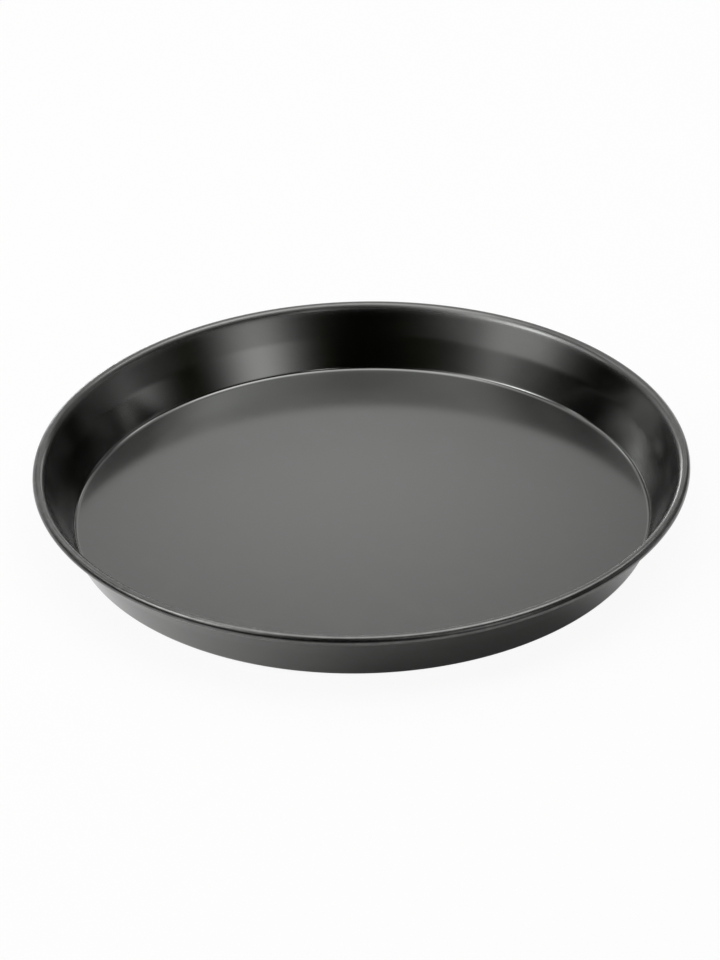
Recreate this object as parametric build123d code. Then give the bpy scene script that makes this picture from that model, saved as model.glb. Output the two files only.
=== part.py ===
from build123d import *
import math
import os

# Round pizza pan. One disc of sheet steel is drawn into a shallow pan with a flat floor,
# a tight corner and a flared wall that bends a little further outwards half way up. Its top
# eases over a short shoulder, and its edge is rolled down and round a steel wire ring.
# Millimetres. The origin is the centre of the underside of the floor, +Z is up.

# Overall sizes: across the outside of the rolled rim, and from the table to its top
outer_diameter = 300.0
overall_height = 30.0

# The sheet, and the inside radius between floor and wall
sheet_thickness = 0.6
corner_radius = 2.5

# The wall's lean from the vertical under and over its bend, the bend's height above the
# table, and the bend's radius on the sheet's inner face
lower_flare_degrees = 23.0
upper_flare_degrees = 25.4
bend_height = 15.5
bend_radius = 60.0

# The shoulder between the wall and the curl: its radius on the sheet's inner face, and how
# far it turns the sheet before the tighter curl takes over
shoulder_radius = 6.5
shoulder_turn_degrees = 24.6

# The rolled rim: the wire, its play inside the curl, and the gap that the sheet's cut edge
# keeps from the line of the wall where the curl closes
wire_diameter = 3.4
wire_play = 0.05
curl_closing_gap = 0.2

# The wire is bent into a ring, and its two ends meet at the back with this gap
wire_butt_gap = 1.0


def around(centre, radius, degrees):
    """A point of the half section, at a radius and a direction from a centre."""
    angle = math.radians(degrees)
    return (
        centre[0] + radius * math.cos(angle),
        centre[1] + radius * math.sin(angle),
    )


def down_the_wall(point, flare_degrees, height):
    """The point at a height on the straight run of wall that leans by the flare past a point."""
    return (
        point[0] - (point[1] - height) * math.tan(math.radians(flare_degrees)),
        height,
    )


# Section of the curl: its inside is the wire's seat, its outside is the bead of the rim
seat_radius = wire_diameter / 2 + wire_play
bead_radius = seat_radius + sheet_thickness
bead_centre = (outer_diameter / 2 - bead_radius, overall_height - bead_radius)

# Directions from the arcs' centres to where they touch the lower and the upper wall, and to
# where the curl begins
lower_side_degrees = 180 - lower_flare_degrees
upper_side_degrees = 180 - upper_flare_degrees
curl_start_degrees = upper_side_degrees - shoulder_turn_degrees

# From the bead down the sheet's inner face. Shoulder and curl touch where the curl begins,
# so their centres and that point are in line.
shoulder_centre = around(bead_centre, bead_radius - shoulder_radius, curl_start_degrees)
wall_top = around(shoulder_centre, shoulder_radius, upper_side_degrees)

# The bend is an arc between the two straight runs, with its middle at the bend's height
middle_flare = math.radians((lower_flare_degrees + upper_flare_degrees) / 2)
bend_centre_height = bend_height - bend_radius * math.sin(middle_flare)
bend_top_height = bend_centre_height + bend_radius * math.sin(math.radians(upper_flare_degrees))
bend_top = down_the_wall(wall_top, upper_flare_degrees, bend_top_height)
bend_centre = around(bend_top, bend_radius, -upper_flare_degrees)
bend_foot = around(bend_centre, bend_radius, lower_side_degrees)

# The wall's foot is where it leaves the corner's arc, whose outer face stands on the table
outer_corner_radius = corner_radius + sheet_thickness
foot_height = outer_corner_radius - corner_radius * math.sin(math.radians(lower_flare_degrees))
wall_foot = down_the_wall(bend_foot, lower_flare_degrees, foot_height)
corner_centre = around(wall_foot, corner_radius, lower_side_degrees)
floor_radius = corner_centre[0]

# The curl runs over the top, round the outside and back underneath, and stops where its cut
# edge keeps the closing gap from the line of the wall's outer face.
wall_distance = (
    shoulder_radius
    - sheet_thickness
    - (shoulder_radius - bead_radius) * math.cos(math.radians(shoulder_turn_degrees))
)
curl_open_degrees = math.degrees(math.acos((wall_distance - curl_closing_gap) / bead_radius))
curl_sweep_degrees = 360 - curl_open_degrees - shoulder_turn_degrees
curl_end_degrees = curl_start_degrees - curl_sweep_degrees


def sheet_face(depth):
    """One face of the sheet, at a depth under its inner face: floor, corner, wall, rolled rim."""
    corner_arc_radius = corner_radius + depth
    bend_arc_radius = bend_radius - depth
    shoulder_arc_radius = shoulder_radius - depth
    floor_level = sheet_thickness - depth
    lower_wall = Line(
        around(corner_centre, corner_arc_radius, -lower_flare_degrees),
        around(bend_centre, bend_arc_radius, lower_side_degrees),
    )
    upper_wall = Line(
        around(bend_centre, bend_arc_radius, upper_side_degrees),
        around(shoulder_centre, shoulder_arc_radius, upper_side_degrees),
    )
    bend_turn_degrees = upper_side_degrees - lower_side_degrees
    return [
        Line((0, floor_level), (floor_radius, floor_level)),
        CenterArc(corner_centre, corner_arc_radius, -90, 90 - lower_flare_degrees),
        lower_wall,
        CenterArc(bend_centre, bend_arc_radius, lower_side_degrees, bend_turn_degrees),
        upper_wall,
        CenterArc(shoulder_centre, shoulder_arc_radius, upper_side_degrees, -shoulder_turn_degrees),
        CenterArc(bead_centre, bead_radius - depth, curl_start_degrees, -curl_sweep_degrees),
    ]


def pan_body():
    """Floor, corner, wall and rolled rim: one continuous sheet, turned about the pan's axis."""
    cut_edge = Line(
        around(bead_centre, bead_radius, curl_end_degrees),
        around(bead_centre, seat_radius, curl_end_degrees),
    )
    axis_edge = Line((0, 0), (0, sheet_thickness))
    half_section = make_face([*sheet_face(0), cut_edge, *sheet_face(sheet_thickness), axis_edge])
    return revolve(Plane.XZ * half_section, Axis.Z)


def rim_wire():
    """The round wire ring that fills the rolled rim, open at the back where its ends meet."""
    butt_degrees = math.degrees(wire_butt_gap / bead_centre[0])
    section = Plane.XZ * Pos(*bead_centre) * Circle(wire_diameter / 2)
    first_end = Rot(0, 0, 90 + butt_degrees / 2) * section
    return revolve(first_end, Axis.Z, 360 - butt_degrees)


os.makedirs("parts", exist_ok=True)
export_step(pan_body(), "parts/pan_body.step")
export_step(rim_wire(), "parts/rim_wire.step")
print(f"floor across {2 * floor_radius:.2f}, bead {2 * bead_radius:.2f}, curl ends at {curl_end_degrees:.1f}")
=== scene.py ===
import bpy
import numpy as np
from mathutils import Matrix


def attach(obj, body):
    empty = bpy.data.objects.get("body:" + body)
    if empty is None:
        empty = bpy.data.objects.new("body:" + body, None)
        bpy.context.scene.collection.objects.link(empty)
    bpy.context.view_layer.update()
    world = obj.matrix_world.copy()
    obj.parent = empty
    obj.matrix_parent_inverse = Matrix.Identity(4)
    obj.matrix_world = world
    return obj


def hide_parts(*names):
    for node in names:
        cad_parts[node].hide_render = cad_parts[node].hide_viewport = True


# A round pizza pan of dark coated sheet steel with a wired rim, on a white table.
# Metres, in the CAD frame: the origin is under the middle of the pan's floor, z is up.
# The camera looks along +y, so -y is the front of the pan.

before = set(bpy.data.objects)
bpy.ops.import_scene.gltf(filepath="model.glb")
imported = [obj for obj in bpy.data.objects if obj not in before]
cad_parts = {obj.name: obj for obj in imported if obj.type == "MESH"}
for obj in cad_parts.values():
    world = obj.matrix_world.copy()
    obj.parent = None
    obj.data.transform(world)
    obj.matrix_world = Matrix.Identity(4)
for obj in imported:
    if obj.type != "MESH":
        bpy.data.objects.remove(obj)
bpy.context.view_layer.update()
print("stage 1: frame loaded,", sorted(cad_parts))


# Helpers for meshes and materials


def arcPoints(centre, radius, startDegrees, endDegrees, count):
    # points on a circle in the (across, up) plane, from one direction to the other
    angle = np.radians(np.linspace(startDegrees, endDegrees, count))
    return np.stack([centre[0] + radius * np.cos(angle), centre[1] + radius * np.sin(angle)], 1)


def linePoints(start, end, shares):
    # points on a straight run, at shares of its length
    start, end = np.array(start), np.array(end)
    return start + np.array(shares)[:, None] * (end - start)


def meshObject(name, points, faces, smooth=True):
    mesh = bpy.data.meshes.new(name)
    mesh.from_pydata(points.tolist(), [], faces)
    mesh.polygons.foreach_set("use_smooth", [smooth] * len(mesh.polygons))
    mesh.update()
    mesh.validate()
    made = bpy.data.objects.new(name, mesh)
    bpy.context.scene.collection.objects.link(made)
    return made


def turnedMesh(name, outline, turns):
    # a profile carried round the z axis: (across * cos turn, across * sin turn, up); the first
    # and last points of the outline lie on the axis and become single points
    angle = np.linspace(0, 2 * np.pi, turns, endpoint=False)
    ring = outline[1:-1]
    across, up = ring[:, 0][:, None], ring[:, 1][:, None]
    grid = np.stack([across * np.cos(angle), across * np.sin(angle), up + 0 * angle], -1)
    points = np.vstack([grid.reshape(-1, 3), [0, 0, outline[0, 1]], [0, 0, outline[-1, 1]]])
    firstPole, lastPole = len(ring) * turns, len(ring) * turns + 1
    row, column = np.meshgrid(np.arange(len(ring) - 1), np.arange(turns), indexing="ij")
    nextColumn = (column + 1) % turns
    quads = np.stack([
        row * turns + column, (row + 1) * turns + column,
        (row + 1) * turns + nextColumn, row * turns + nextColumn,
    ], -1).reshape(-1, 4)
    step = np.arange(turns)
    nextStep = (step + 1) % turns
    lastRow = (len(ring) - 1) * turns
    firstFan = np.stack([np.full(turns, firstPole), step, nextStep], 1)
    lastFan = np.stack([np.full(turns, lastPole), lastRow + nextStep, lastRow + step], 1)
    return meshObject(name, points, quads.tolist() + firstFan.tolist() + lastFan.tolist())


def newMaterial(name):
    material = bpy.data.materials.new(name)
    material.use_nodes = True
    tree = material.node_tree
    tree.nodes.clear()
    output = tree.nodes.new("ShaderNodeOutputMaterial")
    return material, tree, output


def addNode(tree, kind, inputs=None, **settings):
    # a node with its settings, and with each input linked to a socket or set to a value
    node = tree.nodes.new(kind)
    for key, value in settings.items():
        setattr(node, key, value)
    for key, value in (inputs or {}).items():
        if isinstance(value, bpy.types.NodeSocket):
            tree.links.new(value, node.inputs[key])
        else:
            node.inputs[key].default_value = value
    return node


def mathNode(tree, operation, a, b=0.0):
    return addNode(tree, "ShaderNodeMath", {0: a, 1: b}, operation=operation).outputs[0]


def rampNode(tree, value, low, high, toLow=0.0, toHigh=1.0):
    # a smooth step: toLow where value is under low, toHigh where it is over high
    inputs = {"Value": value, "From Min": low, "From Max": high, "To Min": toLow, "To Max": toHigh}
    ramp = addNode(tree, "ShaderNodeMapRange", inputs, interpolation_type="SMOOTHSTEP")
    return ramp.outputs["Result"]


def mixValues(tree, share, first, second):
    # from the first value to the second, as the share goes from 0 to 1
    return addNode(tree, "ShaderNodeMix", {0: share, 2: first, 3: second}).outputs[0]


def mixColors(tree, share, first, second):
    # from the first colour to the second, each a socket or three numbers
    inputs = {0: share}
    for key, value in ((6, first), (7, second)):
        inputs[key] = value if isinstance(value, bpy.types.NodeSocket) else (*value, 1)
    return addNode(tree, "ShaderNodeMix", inputs, data_type="RGBA").outputs[2]


def noiseNode(tree, vector, size, detail=2.0, rough=0.5):
    # noise whose patches are about size metres across
    inputs = {"Vector": vector, "Scale": 1 / size, "Detail": detail, "Roughness": rough}
    return addNode(tree, "ShaderNodeTexNoise", inputs).outputs["Fac"]


def placeNodes(tree):
    # the place on the piece, and its distance from the z axis
    place = addNode(tree, "ShaderNodeTexCoord").outputs["Object"]
    onTable = {0: place, 1: (1, 1, 0)}
    flat = addNode(tree, "ShaderNodeVectorMath", onTable, operation="MULTIPLY").outputs[0]
    across = addNode(tree, "ShaderNodeVectorMath", {0: flat}, operation="LENGTH").outputs["Value"]
    return place, across


def metalNodes(tree, output, color, rough, height, depth):
    # bare or coated metal with a fine relief: height from 0 to 1 is depth metres
    bumpInputs = {"Height": height, "Distance": depth, "Strength": 1.0}
    bump = addNode(tree, "ShaderNodeBump", bumpInputs).outputs[0]
    shader = addNode(tree, "ShaderNodeBsdfPrincipled", {
        "Base Color": color, "Metallic": 1.0, "Roughness": rough, "Normal": bump,
    })
    tree.links.new(shader.outputs[0], output.inputs[0])


# The camera, fitted to the outlines of the rim and the floor in the photograph

photo = {"width": 720, "height": 960}
shot = {
    "elevation": 31.243,  # degrees above the table
    "roll": -1.385,       # degrees, the camera's lean to one side
    "distance": 1.81747,  # from the aim point
    "aim": (-0.00071, 0.0, 0.01788),
    "focalPixels": 3966.0,
    "sensorWidth": 36.0,  # millimetres
    "clip": (0.05, 60.0),
}


def makeCamera(s):
    # the view axis comes down at the elevation; the picture's right and up are turned by the roll
    elevation, roll = np.radians(s["elevation"]), np.radians(s["roll"])
    forward = np.array([0, np.cos(elevation), -np.sin(elevation)])
    right, up = np.array([1.0, 0, 0]), np.array([0, np.sin(elevation), np.cos(elevation)])
    rolledRight = np.cos(roll) * right + np.sin(roll) * up
    rolledUp = -np.sin(roll) * right + np.cos(roll) * up
    place = np.array(s["aim"]) - s["distance"] * forward
    matrix = np.eye(4)
    matrix[:3, :] = np.stack([rolledRight, rolledUp, -forward, place], 1)
    data = bpy.data.cameras.new("photoCamera")
    data.sensor_width = s["sensorWidth"]
    data.lens = s["focalPixels"] * data.sensor_width / max(photo["width"], photo["height"])
    data.clip_start, data.clip_end = s["clip"]
    made = bpy.data.objects.new("photoCamera", data)
    bpy.context.scene.collection.objects.link(made)
    made.matrix_world = Matrix(matrix.tolist())
    bpy.context.scene.camera = made


makeCamera(shot)
print("stage 2: camera set")


# The pan: one sheet, pressed and with its edge rolled round the wire

pan = {
    "acrossRim": 0.29997,      # a hair under the solid's 0.300 and 0.030, to stay inside its box
    "height": 0.029996,
    "sheet": 0.0006,
    "cornerRadius": 0.0025,    # inside radius between floor and wall
    "lowerLean": 23.0,         # degrees from the vertical, under the wall's slight bend
    "upperLean": 25.4,         # and over it
    "bendHeight": 0.0155,      # above the table
    "bendRadius": 0.060,
    "shoulderRadius": 0.0065,  # inside face, where the wall starts to turn outwards
    "shoulderTurn": 24.6,      # degrees turned there before the tighter curl begins
    "wire": 0.0034,
    "wirePlay": 0.00005,
    "closingGap": 0.0002,      # between the cut edge and the line of the wall
    "turns": 504,
    # how many points each arc of the section has, on its inner and its outer face
    "cornerPoints": (15, 12),
    "bendPoints": (6, 5),
    "shoulderPoints": (12, 8),
    "curlPoints": (64, 18),
    "curlHiddenPoints": (17, 9),
    "curlHiddenFrom": -62,     # degrees: from here on the curl faces the wall and the table
    # where the points of the straight runs lie: close to the arcs, so that these shade cleanly
    "runShares": (0.08, 0.5, 0.92),
    "floorShares": (0, 0.3, 0.6, 0.85, 0.95, 0.99, 0.998),
}


def around(centre, radius, degrees):
    # the point at a radius and a direction from a centre
    return arcPoints(centre, radius, degrees, degrees, 1)[0]


def downWall(point, lean, height):
    # the point at a height on the straight run that leans so far past a point
    return np.array([point[0] - (point[1] - height) * np.tan(np.radians(lean)), height])


def panCentres(p):
    # the arcs' centres in the half section, from the rim down: where two arcs touch, their
    # centres and that point are in line, and each straight run of wall touches both its arcs
    bead = p["wire"] / 2 + p["wirePlay"] + p["sheet"]
    rim = np.array([p["acrossRim"] / 2 - bead, p["height"] - bead])
    lowerSide, upperSide = 180 - p["lowerLean"], 180 - p["upperLean"]
    shoulder = around(rim, bead - p["shoulderRadius"], upperSide - p["shoulderTurn"])
    wallTop = around(shoulder, p["shoulderRadius"], upperSide)
    middleRise = np.sin(np.radians((p["lowerLean"] + p["upperLean"]) / 2))
    topRise = np.sin(np.radians(p["upperLean"]))
    bendTopHeight = p["bendHeight"] + p["bendRadius"] * (topRise - middleRise)
    bendTop = downWall(wallTop, p["upperLean"], bendTopHeight)
    bend = around(bendTop, p["bendRadius"], -p["upperLean"])
    bendFoot = around(bend, p["bendRadius"], lowerSide)
    footHeight = p["sheet"] + p["cornerRadius"] * (1 - np.sin(np.radians(p["lowerLean"])))
    corner = around(downWall(bendFoot, p["lowerLean"], footHeight), p["cornerRadius"], lowerSide)
    return corner, bend, shoulder, rim, bead


def panOutline(p):
    # half section from the axis along the inner face, over the curl, round the cut edge and
    # back along the outer face to the axis: arcs joined by straight runs that touch them
    corner, bend, shoulder, rim, bead = panCentres(p)
    lowerSide, upperSide = 180 - p["lowerLean"], 180 - p["upperLean"]
    curlStart, curlHidden = upperSide - p["shoulderTurn"], p["curlHiddenFrom"]
    turn = np.radians(p["shoulderTurn"])
    wallDistance = p["shoulderRadius"] - p["sheet"] - (p["shoulderRadius"] - bead) * np.cos(turn)
    curlEnd = upperSide - 360 + np.degrees(np.arccos((wallDistance - p["closingGap"]) / bead))

    def face(side):
        # one face of the sheet: side 0 is the inner one, side 1 the outer one, a sheet deeper
        depth = side * p["sheet"]
        level = p["sheet"] - depth
        cornerRadius, bendRadius = p["cornerRadius"] + depth, p["bendRadius"] - depth
        shoulderRadius, curlRadius = p["shoulderRadius"] - depth, bead - depth
        cornerEnd = around(corner, cornerRadius, -p["lowerLean"])
        bendStart = around(bend, bendRadius, lowerSide)
        bendEnd = around(bend, bendRadius, upperSide)
        shoulderStart = around(shoulder, shoulderRadius, upperSide)
        shoulderCount, curlCount = p["shoulderPoints"][side], p["curlPoints"][side]
        return np.vstack([
            linePoints((0, level), (corner[0], level), p["floorShares"]),
            arcPoints(corner, cornerRadius, -90, -p["lowerLean"], p["cornerPoints"][side]),
            linePoints(cornerEnd, bendStart, p["runShares"]),
            arcPoints(bend, bendRadius, lowerSide, upperSide, p["bendPoints"][side]),
            linePoints(bendEnd, shoulderStart, p["runShares"]),
            arcPoints(shoulder, shoulderRadius, upperSide, curlStart, shoulderCount),
            arcPoints(rim, curlRadius, curlStart, curlHidden, curlCount)[1:],
            arcPoints(rim, curlRadius, curlHidden, curlEnd, p["curlHiddenPoints"][side])[1:],
        ])

    return np.vstack([face(0), face(1)[::-1]]), corner[0]


outline, floorRadius = panOutline(pan)
panBody = turnedMesh("pan", outline, pan["turns"])
print("stage 3: pan made,", len(outline), "points in its section")


# Finishes

coat = {
    "color": (0.180, 0.183, 0.1775),
    "paler": (0.187, 0.189, 0.1825),     # the lighter patches of its mottling
    "mottleSize": 0.016,
    "mottleNoise": (4.0, 0.6),           # detail and roughness of the noise
    "palerFrom": (0.42, 0.62),           # from and to this noise the patches turn paler
    "floorRoughness": 0.17,
    "wallRoughness": 0.14,
    "wallFrom": (-0.001, 0.003),         # past the floor's edge its gloss gives way to the wall's
    "rimRoughness": 0.29,                # the rolled rim is handled and stacked, so it is duller
    "rimFrom": (0.1434, 0.1450),         # from and to this far from the axis the wall's gloss dulls
    "roughnessSpread": 0.012,            # how much the mottling makes it duller or glossier
    "spreadFrom": (0.3, 0.7),
    "grainSize": 0.0009,                 # the fine pebbling of the sprayed coat
    "grainDepth": 0.000004,
    "edgeColor": (0.150, 0.150, 0.147),  # worn rim
    "wornFrom": (0.0055, 0.0002),        # from and to this far in from the rim's outside
    "wornSize": 0.006,                   # of the gaps in the wear
    "wornNoise": (3.0, 0.6),
    "wornBreaks": (0.35, 0.6),
}


def coatMaterial(c):
    material, tree, output = newMaterial("darkCoat")
    place, across = placeNodes(tree)
    mottle = noiseNode(tree, place, c["mottleSize"], *c["mottleNoise"])
    # wear: a broken band along the outside of the rim
    rimRadius = pan["acrossRim"] / 2
    outside = rampNode(tree, across, rimRadius - c["wornFrom"][0], rimRadius - c["wornFrom"][1])
    gaps = noiseNode(tree, place, c["wornSize"], *c["wornNoise"])
    worn = mathNode(tree, "MULTIPLY", outside, rampNode(tree, gaps, *c["wornBreaks"]))
    body = mixColors(tree, rampNode(tree, mottle, *c["palerFrom"]), c["color"], c["paler"])
    color = mixColors(tree, worn, body, c["edgeColor"])
    # gloss: floor, wall and rim each have their own, and the mottling varies it a little
    wall = rampNode(tree, across, floorRadius + c["wallFrom"][0], floorRadius + c["wallFrom"][1])
    rough = mixValues(tree, wall, c["floorRoughness"], c["wallRoughness"])
    rim = rampNode(tree, across, *c["rimFrom"])
    rough = mixValues(tree, rim, rough, c["rimRoughness"])
    most = c["roughnessSpread"]
    rough = mathNode(tree, "ADD", rough, rampNode(tree, mottle, *c["spreadFrom"], -most, most))
    grain = noiseNode(tree, place, c["grainSize"])
    metalNodes(tree, output, color, rough, grain, c["grainDepth"])
    return material


wire = {
    "color": (0.50, 0.50, 0.49),
    "dull": (0.36, 0.35, 0.33),  # the film that drawing and storing leaves on it
    "streakLength": 0.020,       # along the wire
    "streakWidth": 0.0006,
    "streakNoise": (3.0, 0.6),   # detail and roughness of the noise
    "streakDepth": 0.000006,
    "dullFrom": (0.38, 0.64),    # from and to this noise the streaks turn dull
    "roughness": (0.30, 0.48),   # from the bare streaks to the dull ones
    "roughFrom": (0.3, 0.7),
}


def wireMaterial(w):
    # draw marks: noise on (turn * ring radius, across, up), stretched along the wire
    material, tree, output = newMaterial("drawnWire")
    place, across = placeNodes(tree)
    parts = addNode(tree, "ShaderNodeSeparateXYZ", {0: place}).outputs
    turn = mathNode(tree, "ARCTAN2", parts["Y"], parts["X"])
    stretch = w["streakWidth"] / w["streakLength"] * pan["acrossRim"] / 2
    along = mathNode(tree, "MULTIPLY", turn, stretch)
    marks = addNode(tree, "ShaderNodeCombineXYZ", {0: along, 1: across, 2: parts["Z"]}).outputs[0]
    streaks = noiseNode(tree, marks, w["streakWidth"], *w["streakNoise"])
    color = mixColors(tree, rampNode(tree, streaks, *w["dullFrom"]), w["color"], w["dull"])
    rough = rampNode(tree, streaks, *w["roughFrom"], *w["roughness"])
    metalNodes(tree, output, color, rough, streaks, w["streakDepth"])
    return material


panBody.data.materials.append(coatMaterial(coat))
wireFinish = wireMaterial(wire)
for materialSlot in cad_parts["rim_wire"].material_slots:
    materialSlot.material = wireFinish
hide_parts("pan_body")
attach(panBody, "root")
print("stage 4: finishes")


# The studio: a tent of cloth with soft lamps behind it, round a white table

studio = {
    "tentRadius": 1.8,
    "tentStep": (1.5, 1.0),        # degrees of azimuth and of elevation
    "room": 0.003,                 # light of the dark cloth between the lamps
    "dimTint": (0.94, 1.0, 0.62),  # colour of the darkest cloth
    "dimUpTo": 0.12,               # the light from which the cloth is plain white
    # each lamp is a soft oval on the tent: azimuth from the camera towards its right, elevation,
    # half width and half height, all in degrees, and the light at its middle
    "lamps": {
        "roof": (-3, 83, 90, 9.5, 0.99),
        "leftBox": (-56, 52, 9, 28.5, 2),
        "rightBox": (104, 63, 13.5, 9, 3.5),
        "backRightBox": (137, 58, 3.5, 4.5, 1.3),
        "leftLamp": (-73, 36, 10, 3.5, 7.7),
        "leftLampFoot": (-73, 34, 8, 11.5, 3.4),
        "leftLow": (-71, 18, 24, 5.5, 0.64),
        "leftSide": (-98, 27, 3.5, 3.5, 5.9),
        "backLeftLow": (-164, 4, 7.5, 5, 10),
        "backLeftSide": (-137, 13, 14.5, 8, 1.2),
        "backHigh": (-179, 30, 12, 5.5, 0.91),
        "backWall": (-179, 64, 24.5, 26, 1.1),
        "backLow": (179, 16, 11, 3.5, 2.8),
        "backRightLow": (156, 9, 8, 3.5, 4),
        "rightLow": (89, 6, 11, 3.5, 0.66),
        "rightStrip": (39, 15, 12.5, 10, 1.4),
        "rightStripTop": (42, 32, 11, 3.5, 0.8),
        "frontSpot": (17, 40, 3.5, 3.5, 4.8),
        "leftBackSpot": (-123, 42, 7, 13.5, 1.9),
        "rightBackSpot": (156, 29, 5, 4.5, 2.3),
        "rightBackHigh": (122, 45, 11, 3.5, 4.3),
        "rightDim": (115, 20, 16, 19, 0.23),
        "topLeft": (-100, 69, 14, 7.5, 2.1),
        "topRight": (71, 73, 12.5, 11.5, 1.7),
        "leftSpot": (-44, 28, 12.5, 3.5, 1.4),
        "rightDimHigh": (129, 23, 3.5, 5, 0.52),
        "backDim": (-148, 37, 9, 3.5, 3.2),
        "rightFrontDim": (92, 19, 14.5, 5, 0.49),
    },
}
white = (1.0, 1.0, 1.0)


def tentLight(s, azimuth, elevation):
    # each lamp falls off from its middle as e to the minus (aside squared plus above squared),
    # measured in its half sizes, and the lamps add up
    light = np.full(azimuth.shape, s["room"])
    for lampAzimuth, lampElevation, wide, tall, level in s["lamps"].values():
        aside = ((azimuth - lampAzimuth + 180) % 360 - 180) * np.cos(np.radians(elevation)) / wide
        above = (elevation - lampElevation) / tall
        light = light + level * np.exp(-aside**2 - above**2)
    return light


def makeTent(s):
    # half a ball on the table, at an azimuth a and an elevation e:
    # radius * (sin a * cos e, -cos a * cos e, sin e)
    aside, above = s["tentStep"]
    azimuth, elevation = np.meshgrid(
        np.arange(-180, 180, aside), np.arange(0, 90 + above, above), indexing="ij")
    a, e = np.radians(azimuth), np.radians(elevation)
    outwards = np.stack([np.sin(a) * np.cos(e), -np.cos(a) * np.cos(e), np.sin(e)], -1)
    points = s["tentRadius"] * outwards
    wide, tall = azimuth.shape
    i, j = np.meshgrid(np.arange(wide), np.arange(tall - 1), indexing="ij")
    k = (i + 1) % wide
    quads = [i * tall + j, i * tall + j + 1, k * tall + j + 1, k * tall + j]
    faces = np.stack(quads, -1).reshape(-1, 4)
    tent = meshObject("lightTent", points.reshape(-1, 3), faces.tolist())
    level = tent.data.attributes.new("level", "FLOAT", "POINT")
    level.data.foreach_set("value", tentLight(s, azimuth, elevation).astype(np.float32).ravel())
    material, tree, output = newMaterial("tentCloth")
    strength = addNode(tree, "ShaderNodeAttribute", attribute_name="level").outputs["Fac"]
    tint = mixColors(tree, rampNode(tree, strength, 0.0, s["dimUpTo"]), s["dimTint"], white)
    shader = addNode(tree, "ShaderNodeEmission", {"Color": tint, "Strength": strength})
    tree.links.new(shader.outputs[0], output.inputs[0])
    material.cycles.emission_sampling = "NONE"  # soft light all round needs no aimed rays
    tent.data.materials.append(material)
    tent.visible_camera = False
    return tent


paper = {
    "half": 8.0,
    "level": -0.00005,           # just clear of the pan's underside
    "touching": 0.0003,          # paper that a surface mirrors from nearer than this is clear
    "color": (0.9, 0.9, 0.9),
    "whiteShare": 0.93,          # how much of its look to the camera is plain white
    "farFrom": (0.16, 0.26),     # from the pan's middle: near paper gives way to the painted room beyond
    "backFrom": (-0.06, 0.06),   # y: painted on the paper for the pan's mirror: a dark room in front, a white wall behind
    # the light of the dark room painted on the paper in front, seen only in the pan's mirror
    "paintedDark": 0.01,
    "nearShare": 0.05,           # painted white in the near paper, seen only as the pan mirrors it
    # painted light on the paper to both sides, seen only in the pan's mirror: from and to this far
    # aside, and the white added there
    "leftGlow": (-0.01, 0.13, 0.78),
    "rightGlow": (0.085, 0.17, 0.85),
}


def glowNode(tree, aside, glow):
    # no glow up to the start, and most of it from the end on
    start, end, most = glow
    return rampNode(tree, aside, start, end, 0.0, most)


def lightNode(tree, strength):
    emission = {"Color": (*white, 1), "Strength": strength}
    return addNode(tree, "ShaderNodeEmission", emission).outputs[0]


def mixShaders(tree, share, first, second):
    return addNode(tree, "ShaderNodeMixShader", {0: share, 1: first, 2: second}).outputs[0]


def makeTable(s):
    # one square; the camera sees it nearly white with the pan's shadow, and for the pan's mirror
    # rays it is painted with the light and dark that stand round a photographer's table
    half, level = s["half"], s["level"]
    points = np.array([
        (-half, -half, level), (half, -half, level), (half, half, level), (-half, half, level),
    ])
    table = meshObject("tableTop", points, [[0, 1, 2, 3]], smooth=False)
    material, tree, output = newMaterial("tablePaper")
    diffuse = addNode(tree, "ShaderNodeBsdfDiffuse", {"Color": (*s["color"], 1)}).outputs[0]
    rays = addNode(tree, "ShaderNodeLightPath").outputs
    place = addNode(tree, "ShaderNodeTexCoord").outputs["Object"]
    parts = addNode(tree, "ShaderNodeSeparateXYZ", {0: place}).outputs
    away = addNode(tree, "ShaderNodeVectorMath", {0: place}, operation="LENGTH").outputs["Value"]
    # painted reflection, seen only by the pan's mirror rays: the room beyond, dark in front and
    # white behind
    far = rampNode(tree, away, *s["farFrom"])
    back = rampNode(tree, parts["Y"], *s["backFrom"])
    # painted pools of light on the paper to left and right and near the pan, seen only in its
    # mirror
    left = glowNode(tree, mathNode(tree, "MULTIPLY", parts["X"], -1.0), s["leftGlow"])
    right = glowNode(tree, parts["X"], s["rightGlow"])
    glow = mathNode(tree, "ADD", mathNode(tree, "MAXIMUM", left, right), s["nearShare"])
    mirrored = mathNode(tree, "MAXIMUM", rays["Is Glossy Ray"], rays["Is Transmission Ray"])
    pale = mathNode(tree, "MAXIMUM", mathNode(tree, "MULTIPLY", far, back), glow)
    seen = mathNode(tree, "MULTIPLY", rays["Is Camera Ray"], s["whiteShare"])
    share = mathNode(tree, "MAXIMUM", seen, mathNode(tree, "MULTIPLY", mirrored, pale))
    near = mixShaders(tree, share, diffuse, lightNode(tree, 1.0))
    # the painted dark room in front of the pan, shown only to its mirror rays
    front = mathNode(tree, "MULTIPLY", far, mathNode(tree, "SUBTRACT", 1.0, back))
    frontShare = mathNode(tree, "MULTIPLY", front, mirrored)
    top = mixShaders(tree, frontShare, near, lightNode(tree, s["paintedDark"]))
    # from below and right under the pan it is clear, so that the underside can be looked at
    below = addNode(tree, "ShaderNodeNewGeometry").outputs["Backfacing"]
    touching = mathNode(tree, "LESS_THAN", rays["Ray Length"], s["touching"])
    clear = addNode(tree, "ShaderNodeBsdfTransparent").outputs[0]
    sided = mixShaders(tree, mathNode(tree, "MAXIMUM", below, touching), top, clear)
    tree.links.new(sided, output.inputs[0])
    table.data.materials.append(material)
    return table


makeTable(paper)
makeTent(studio)

world = bpy.data.worlds.new("whiteRoom")
world.use_nodes = True
background = world.node_tree.nodes["Background"]
background.inputs["Color"].default_value = (*white, 1)
background.inputs["Strength"].default_value = 1.0
bpy.context.scene.world = world
bpy.context.scene.view_settings.view_transform = "Standard"
print("stage 5: studio")
